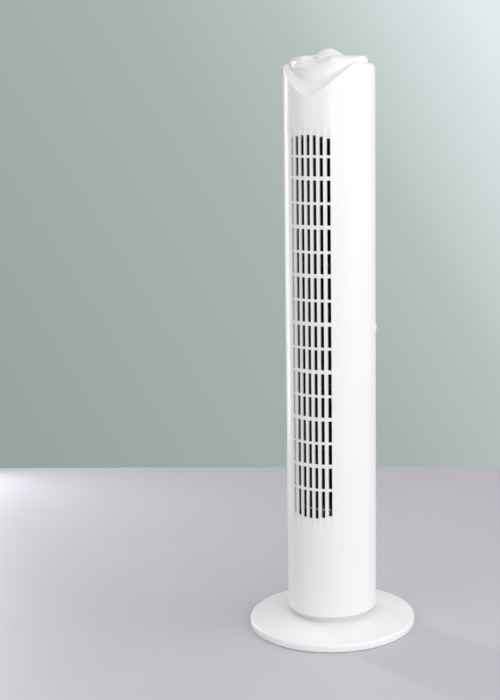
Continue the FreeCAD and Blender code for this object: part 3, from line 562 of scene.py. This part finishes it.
def lid_path(angle):
    """Section of the lid: rounded rim, flat top, knob well, hollow underneath."""
    turn = math.radians(angle)
    side, ahead = math.sin(turn), -math.cos(turn)
    seam = seam_height(POD * side) + SEAM_GAP
    edge = smooth_min(LID_TOP, valley_height(POD * side, POD * ahead), LID_BLEND)
    fade = min(1.0, max(0.0, (100 - min(angle, 360 - angle)) / 30))
    fall = max(0.0, edge - seam - 0.8) * fade * fade * (3 - 2 * fade)

    def dipped(r, z):
        """Height z lowered to the valley and to the lip that falls to the seam."""
        if fade == 0:
            return z
        dip = valley_height(r * side, r * ahead) if ahead < 0 else 760.0
        roll = max(0.0, (r - 30) / (POD - 30))
        dip = smooth_min(LID_TOP, dip, LID_BLEND) - fall * roll ** 3
        return max(seam, min(z, dip))

    flat_from = POD - LID_ROUND
    level = LID_TOP - LID_ROUND
    first = math.asin(min(1.0, max(0.0, (seam - level) / LID_ROUND)))
    crown = []
    for step in range(10):
        lean = first + (math.pi / 2 - first) * step / 9
        crown.append((flat_from + LID_ROUND * math.cos(lean), level + LID_ROUND * math.sin(lean)))
    crown += [(flat_from + (27.2 - flat_from) * step / 8, LID_TOP) for step in range(1, 9)]
    crown += [(26.3, LID_TOP), (25.7, 749.85), (25.25, 749.4), (25.04, 748.8), (25.0, 747.0)]
    top = [(r, dipped(r, z)) for r, z in crown]
    top += [(24.98, 744.3), (24.7, 744.0), (18, 744.0), (5, 744.0)]
    outer = top[0][0]
    wall = [(outer, seam), (outer, seam + (top[0][1] - seam) * 0.5)]
    inner = [(27.5, 741.5), (27.5, 747.5), (36, 747.5), (42, 747.5), (43.4, 746.5)]
    inner = [(r, min(z, dipped(r, z + 2.4) - 2.4)) for r, z in inner]
    path = [(47.0, seam)] + wall + top + [(5, 741.5)] + inner
    path.append((47.0, max(seam + 0.1, dipped(47.0, 746.0) - 3.0)))
    return path


def box_tool(name, half, matrix):
    """Block of the given half sizes round the matrix's origin."""
    wide, deep, high = half
    points = [(x, y, z) for x in (-wide, wide) for y in (-deep, deep) for z in (-high, high)]
    faces = [(0, 1, 3, 2), (4, 6, 7, 5), (0, 4, 5, 1), (2, 3, 7, 6), (0, 2, 6, 4), (1, 5, 7, 3)]
    made = piece_from(name, points, faces, WHITE)
    made.data.transform(matrix)
    return made


def carve(piece, tools):
    """Cut the tools out of the piece for good and remove them."""
    for tool in tools:
        cut = piece.modifiers.new("cut", "BOOLEAN")
        cut.operation = "DIFFERENCE"
        cut.object = tool
        cut.solver = "EXACT"
    bpy.context.view_layer.update()
    seen = piece.evaluated_get(bpy.context.evaluated_depsgraph_get())
    mesh = bpy.data.meshes.new_from_object(seen)
    piece.modifiers.clear()
    piece.data = mesh
    for tool in tools:
        bpy.data.objects.remove(tool)


def build_lid():
    """Lid of the pod, with a hole for each button cap."""
    lid = ring("lid_cap", lid_path, WHITE, 240)
    tools = []
    for number, degrees in enumerate(BUTTON_ANGLES):
        place = standing(BUTTON_RING, degrees, 749.0)
        tools.append(box_tool("hole_%d" % number, (5.8, 4.8, 4.0), place))
    carve(lid, tools)
    lid.data.set_sharp_from_angle(angle=math.radians(40))
    return lid


def build_knob():
    """Bell-shaped timer knob, hollow from below."""
    bell = [(22, 744.8), (22, 748.4), (21.9, 749.4), (21.0, 750.25), (19.5, 751.05)]
    bell += [(17, 752.35), (14.8, 753.6), (12.6, 755.0), (10.9, 756.3), (9, 757.4)]
    bell += [(7, 758.3), (5, 758.95), (3, 759.3), (1.5, 759.45), (0, 759.5)]
    under = [(0, 757.0), (9, 755.0), (17, 750.4), (20.4, 748.6), (20.4, 744.8)]
    return lathe("knob_dome", bell + under, WHITE, 128, 50.0)


# ----------------------------------------------------------------- small work

def printed(name, text, size, matrix):
    """Flat printed figure a hair above its surface."""
    curve = bpy.data.curves.new(name, "FONT")
    curve.body = text
    curve.size = size * MM
    curve.align_x = "CENTER"
    curve.align_y = "CENTER"
    curve.extrude = 0.02 * MM
    holder = bpy.data.objects.new(name + "_text", curve)
    bpy.context.scene.collection.objects.link(holder)
    bpy.context.view_layer.update()
    mesh = bpy.data.meshes.new_from_object(holder)
    bpy.data.objects.remove(holder)
    bpy.data.curves.remove(curve)
    mesh.transform(matrix)
    mesh.name = name
    mesh.materials.clear()
    mesh.materials.append(INK)
    made = bpy.data.objects.new(name, mesh)
    bpy.context.scene.collection.objects.link(made)
    return made


def standing(radius, degrees, z):
    """Matrix of a thing lying flat on the circle, its foot towards the outside."""
    x, y, _ = spot(radius, degrees, z)
    turn = Matrix.Rotation(math.radians(degrees), 4, "Z")
    return Matrix.Translation(Vector((x, y, z)) * MM) @ turn


def join(name, pieces):
    """Join mesh objects into the first one."""
    work = bmesh.new()
    for piece in pieces:
        work.from_mesh(piece.data)
    keeper = pieces[0]
    work.to_mesh(keeper.data)
    work.free()
    for piece in pieces[1:]:
        bpy.data.objects.remove(piece)
    keeper.name = name
    return keeper


def sideways(r, degrees, z, shift, lift=0.0):
    """Point beside a spot on the circle, shifted along the tangent."""
    x, y, _ = spot(r, degrees, z)
    turn = math.radians(degrees)
    return (x + shift * math.cos(turn), y + shift * math.sin(turn), z + lift)


def tick(name, degrees, inner, outer, width):
    """Short radial mark on the lid's top."""
    ends = ((inner, -1), (inner, 1), (outer, 1), (outer, -1))
    corners = [sideways(r, degrees, LID_TOP, side * width / 2) for r, side in ends]
    top = [(x, y, z + PRINT) for x, y, z in corners]
    faces = [(0, 1, 2, 3), (4, 5, 6, 7), (0, 1, 5, 4), (1, 2, 6, 5), (2, 3, 7, 6), (3, 0, 4, 7)]
    return piece_from(name, corners + top, faces, INK)


def dial_marks():
    """Ten-minute marks and figures on the lid round the timer knob."""
    marks = []
    inner, steps = 26.8, 12
    for k in range(steps + 1):
        long = 1.9 if k % 3 == 0 else 1.1
        at = DIAL_START + DIAL_SWEEP / steps * k
        marks.append(tick("tick_%d" % k, at, inner, inner + long, 0.4))
    for k, text in ((0, "120"), (3, "90"), (9, "30"), (12, "0")):
        place = standing(31.0, DIAL_START + DIAL_SWEEP / steps * k, LID_TOP)
        marks.append(printed("figure_%d" % k, text, 3.2, place))
    return join("dial_marks", marks)


def knob_pointer():
    """Short line on the knob's skirt that shows where it is set."""
    points, faces = [], []
    slope = [(13.5, 754.45), (15.5, 753.25), (17.5, 752.1), (19.5, 751.08)]
    for r, z in slope:
        for side, lift in ((-0.5, -0.3), (0.5, -0.3), (0.5, 0.06), (-0.5, 0.06)):
            points.append(sideways(r, POINTER_AT, z, side, lift))
    for k in range(len(slope) - 1):
        a, b = 4 * k, 4 * k + 4
        faces += [(a + i, a + (i + 1) % 4, b + (i + 1) % 4, b + i) for i in range(4)]
    faces += [(0, 1, 2, 3), (12, 13, 14, 15)]
    return piece_from("knob_pointer", points, faces, INK)


def swing_sign(degrees):
    """Two small arrow heads that point apart."""
    points, faces = [], []
    for way in (-1, 1):
        first = len(points)
        for z in (0.0, PRINT):
            points += [(way * 0.7, -1.3, z), (way * 0.7, 1.3, z), (way * 2.9, 0, z)]
        faces += [tuple(first + i for i in face) for face in (
            (0, 1, 2), (3, 4, 5), (0, 1, 4, 3), (1, 2, 5, 4), (2, 0, 3, 5))]
    made = piece_from("swing_button_sign", points, faces, INK)
    made.data.transform(standing(BUTTON_RING, degrees, CAP_TOP))
    return made


def print_controls():
    marks = dial_marks()
    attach(marks, "tower")
    pointer = knob_pointer()
    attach(pointer, "knob")
    for body, text, degrees in zip(BUTTONS, "0123", BUTTON_ANGLES):
        place = standing(BUTTON_RING, degrees, CAP_TOP)
        figure = printed(body + "_figure", text, 4.2, place)
        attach(figure, body)
    sign = swing_sign(BUTTON_ANGLES[-1])
    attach(sign, BUTTONS[-1])


# ------------------------------------------------------------------- assembly

def build_object():
    """Build the white mouldings that the camera sees and hang them on the frame."""
    front = build_front_shell()
    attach(front, "tower")
    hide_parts("front_housing")
    cover = build_base_cover()
    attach(cover, "base")
    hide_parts("base_cover")
    pod = ring("pod_wall", pod_path, WHITE)
    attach(pod, "tower")
    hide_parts("control_pod")
    lid = build_lid()
    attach(lid, "tower")
    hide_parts("control_lid")
    knob = build_knob()
    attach(knob, "knob")
    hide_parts("timer_knob")


# ------------------------------------------------------------ floor and light

def flat(name, corners, low, high, rough):
    mesh = bpy.data.meshes.new(name)
    mesh.from_pydata(corners, [], [(0, 1, 2, 3)])
    made = bpy.data.objects.new(name, mesh)
    bpy.context.scene.collection.objects.link(made)
    mesh.materials.append(surface(name, low, high, rough, 200.0, 0.05))


def area_light(name, place, target, size, power):
    data = bpy.data.lights.new(name, "AREA")
    data.shape = "RECTANGLE"
    data.size, data.size_y = size
    data.energy = power
    made = bpy.data.objects.new(name, data)
    bpy.context.scene.collection.objects.link(made)
    made.location = place
    aim = Vector(target) - Vector(place)
    made.rotation_euler = aim.to_track_quat("-Z", "Y").to_euler()
    made.visible_camera = False


CAM_TURN = 27.6       # the camera's place round the fan, from its front
CAM_DISTANCE = 1.7796
CAM_HEIGHT = 0.7041
CAM_YAW = 1.443
CAM_PITCH = 7.74
CAM_ROLL = -0.149


def around(right, away, up):
    """Point given along the main view's axes: to its right, away from it, up."""
    turn = Matrix.Rotation(math.radians(CAM_TURN), 3, "Z")
    return turn @ Vector((right, away, up))


def build_camera():
    data = bpy.data.cameras.new("camera")
    data.sensor_fit = "VERTICAL"
    data.sensor_height = 36.0
    data.lens = 70.99
    data.shift_x = -0.164143
    data.shift_y = -0.100429
    data.clip_start = 0.05
    data.clip_end = 50
    made = bpy.data.objects.new("camera", data)
    bpy.context.scene.collection.objects.link(made)
    yaw, pitch = math.radians(CAM_YAW), math.radians(CAM_PITCH)
    ahead = around(
        math.sin(yaw) * math.cos(pitch),
        math.cos(yaw) * math.cos(pitch),
        -math.sin(pitch),
    )
    right = ahead.cross(Vector((0, 0, 1))).normalized()
    up = right.cross(ahead)
    basis = Matrix((right, up, -ahead)).transposed()
    basis = basis @ Matrix.Rotation(math.radians(CAM_ROLL), 3, "Z")
    made.matrix_world = Matrix.Translation(around(0, -CAM_DISTANCE, CAM_HEIGHT)) @ basis.to_4x4()
    bpy.context.scene.camera = made


def build_stage():
    """Pale floor that ends a little way behind the fan."""
    far, wide = 0.765, 6.0
    yaw = math.radians(-CAM_YAW)

    def at(right, away):
        across = right * math.cos(yaw) - away * math.sin(yaw)
        return around(across, right * math.sin(yaw) + away * math.cos(yaw), 0)

    floor = [at(-wide, far), at(-wide, -wide), at(wide, -wide), at(wide, far)]
    flat("floor", floor, (0.515, 0.511, 0.56), (0.525, 0.521, 0.57), (0.5, 0.54))


def build_world():
    """Even white surroundings that light the scene, seen as a sage green backdrop with painted light
    that lightens it to one side.
    """
    world = bpy.data.worlds.new("world")
    bpy.context.scene.world = world
    world.use_nodes = True
    tree = world.node_tree
    fill = tree.nodes["Background"]
    fill.inputs["Color"].default_value = (1, 1, 1, 1)
    fill.inputs["Strength"].default_value = 0.5
    place = tree.nodes.new("ShaderNodeTexCoord")
    # Painted light: how far a direction points to the upper right, where the backdrop is painted lighter
    # as if a lamp washed it.
    painted_light_slant = tree.nodes.new("ShaderNodeVectorMath")
    painted_light_slant.operation = "DOT_PRODUCT"
    painted_light_slant.inputs[1].default_value = around(1, 0, 0.6)
    tree.links.new(place.outputs["Generated"], painted_light_slant.inputs[0])
    painted_light_spread = tree.nodes.new("ShaderNodeMapRange")
    painted_light_spread.inputs["From Min"].default_value = -0.35
    painted_light_spread.inputs["From Max"].default_value = 0.65
    tree.links.new(painted_light_slant.outputs["Value"], painted_light_spread.inputs["Value"])
    # Painted light: the backdrop's sage tones brighten towards the upper right, and the pale tone is a
    # painted pool of wash light on it.
    low, high = (0.323, 0.376, 0.361, 1), (0.397, 0.456, 0.440, 1)
    ramp = add_ramp(tree, painted_light_spread.outputs["Result"], low, high, 0.0, 1.0)
    painted_wash_light, middle = (0.775, 0.839, 0.855, 1), (0.474, 0.539, 0.521, 1)
    for position, tone in ((0.25, high), (0.35, middle), (0.5, painted_wash_light), (0.8, middle)):
        ramp.color_ramp.elements.new(position).color = tone
    seen = tree.nodes.new("ShaderNodeBackground")
    tree.links.new(ramp.outputs["Color"], seen.inputs["Color"])
    path = tree.nodes.new("ShaderNodeLightPath")
    mix = tree.nodes.new("ShaderNodeMixShader")
    tree.links.new(path.outputs["Is Camera Ray"], mix.inputs["Fac"])
    tree.links.new(fill.outputs["Background"], mix.inputs[1])
    tree.links.new(seen.outputs["Background"], mix.inputs[2])
    tree.links.new(mix.outputs["Shader"], tree.nodes["World Output"].inputs["Surface"])


def build_lights():
    """Soft lights: name, place, target, size in metres, watts."""
    area_light("side", around(1.9, 0.1, 1.2), (0, 0, 0.35), (1.6, 1.6), 10.0)
    area_light("key", around(1.7, -1.1, 1.3), (0, 0, 0.4), (2.2, 2.4), 18.5)
    area_light("strip", around(-0.7, 0.69, 0.5), (0, 0, 0.45), (0.07, 1.6), 5.0)
    area_light("front", around(0.7, -2.4, 1.4), (0, 0, 0.4), (1.8, 1.4), 14.0)
    area_light("top", around(0.7, -0.9, 2.4), around(0.3, -0.2, 0), (1.8, 1.8), 6.0)
    area_light("left", around(-1.8, -1.6, 1.0), (0, 0, 0.4), (1.5, 1.8), 10.0)
    area_light("low", around(0.3, -2.3, 0.6), around(0.3, 0, 0), (0.8, 0.25), 4.5)


dress_frame()
build_object()
print_controls()
build_camera()
build_stage()
build_world()
build_lights()
bpy.context.scene.view_settings.view_transform = "Standard"
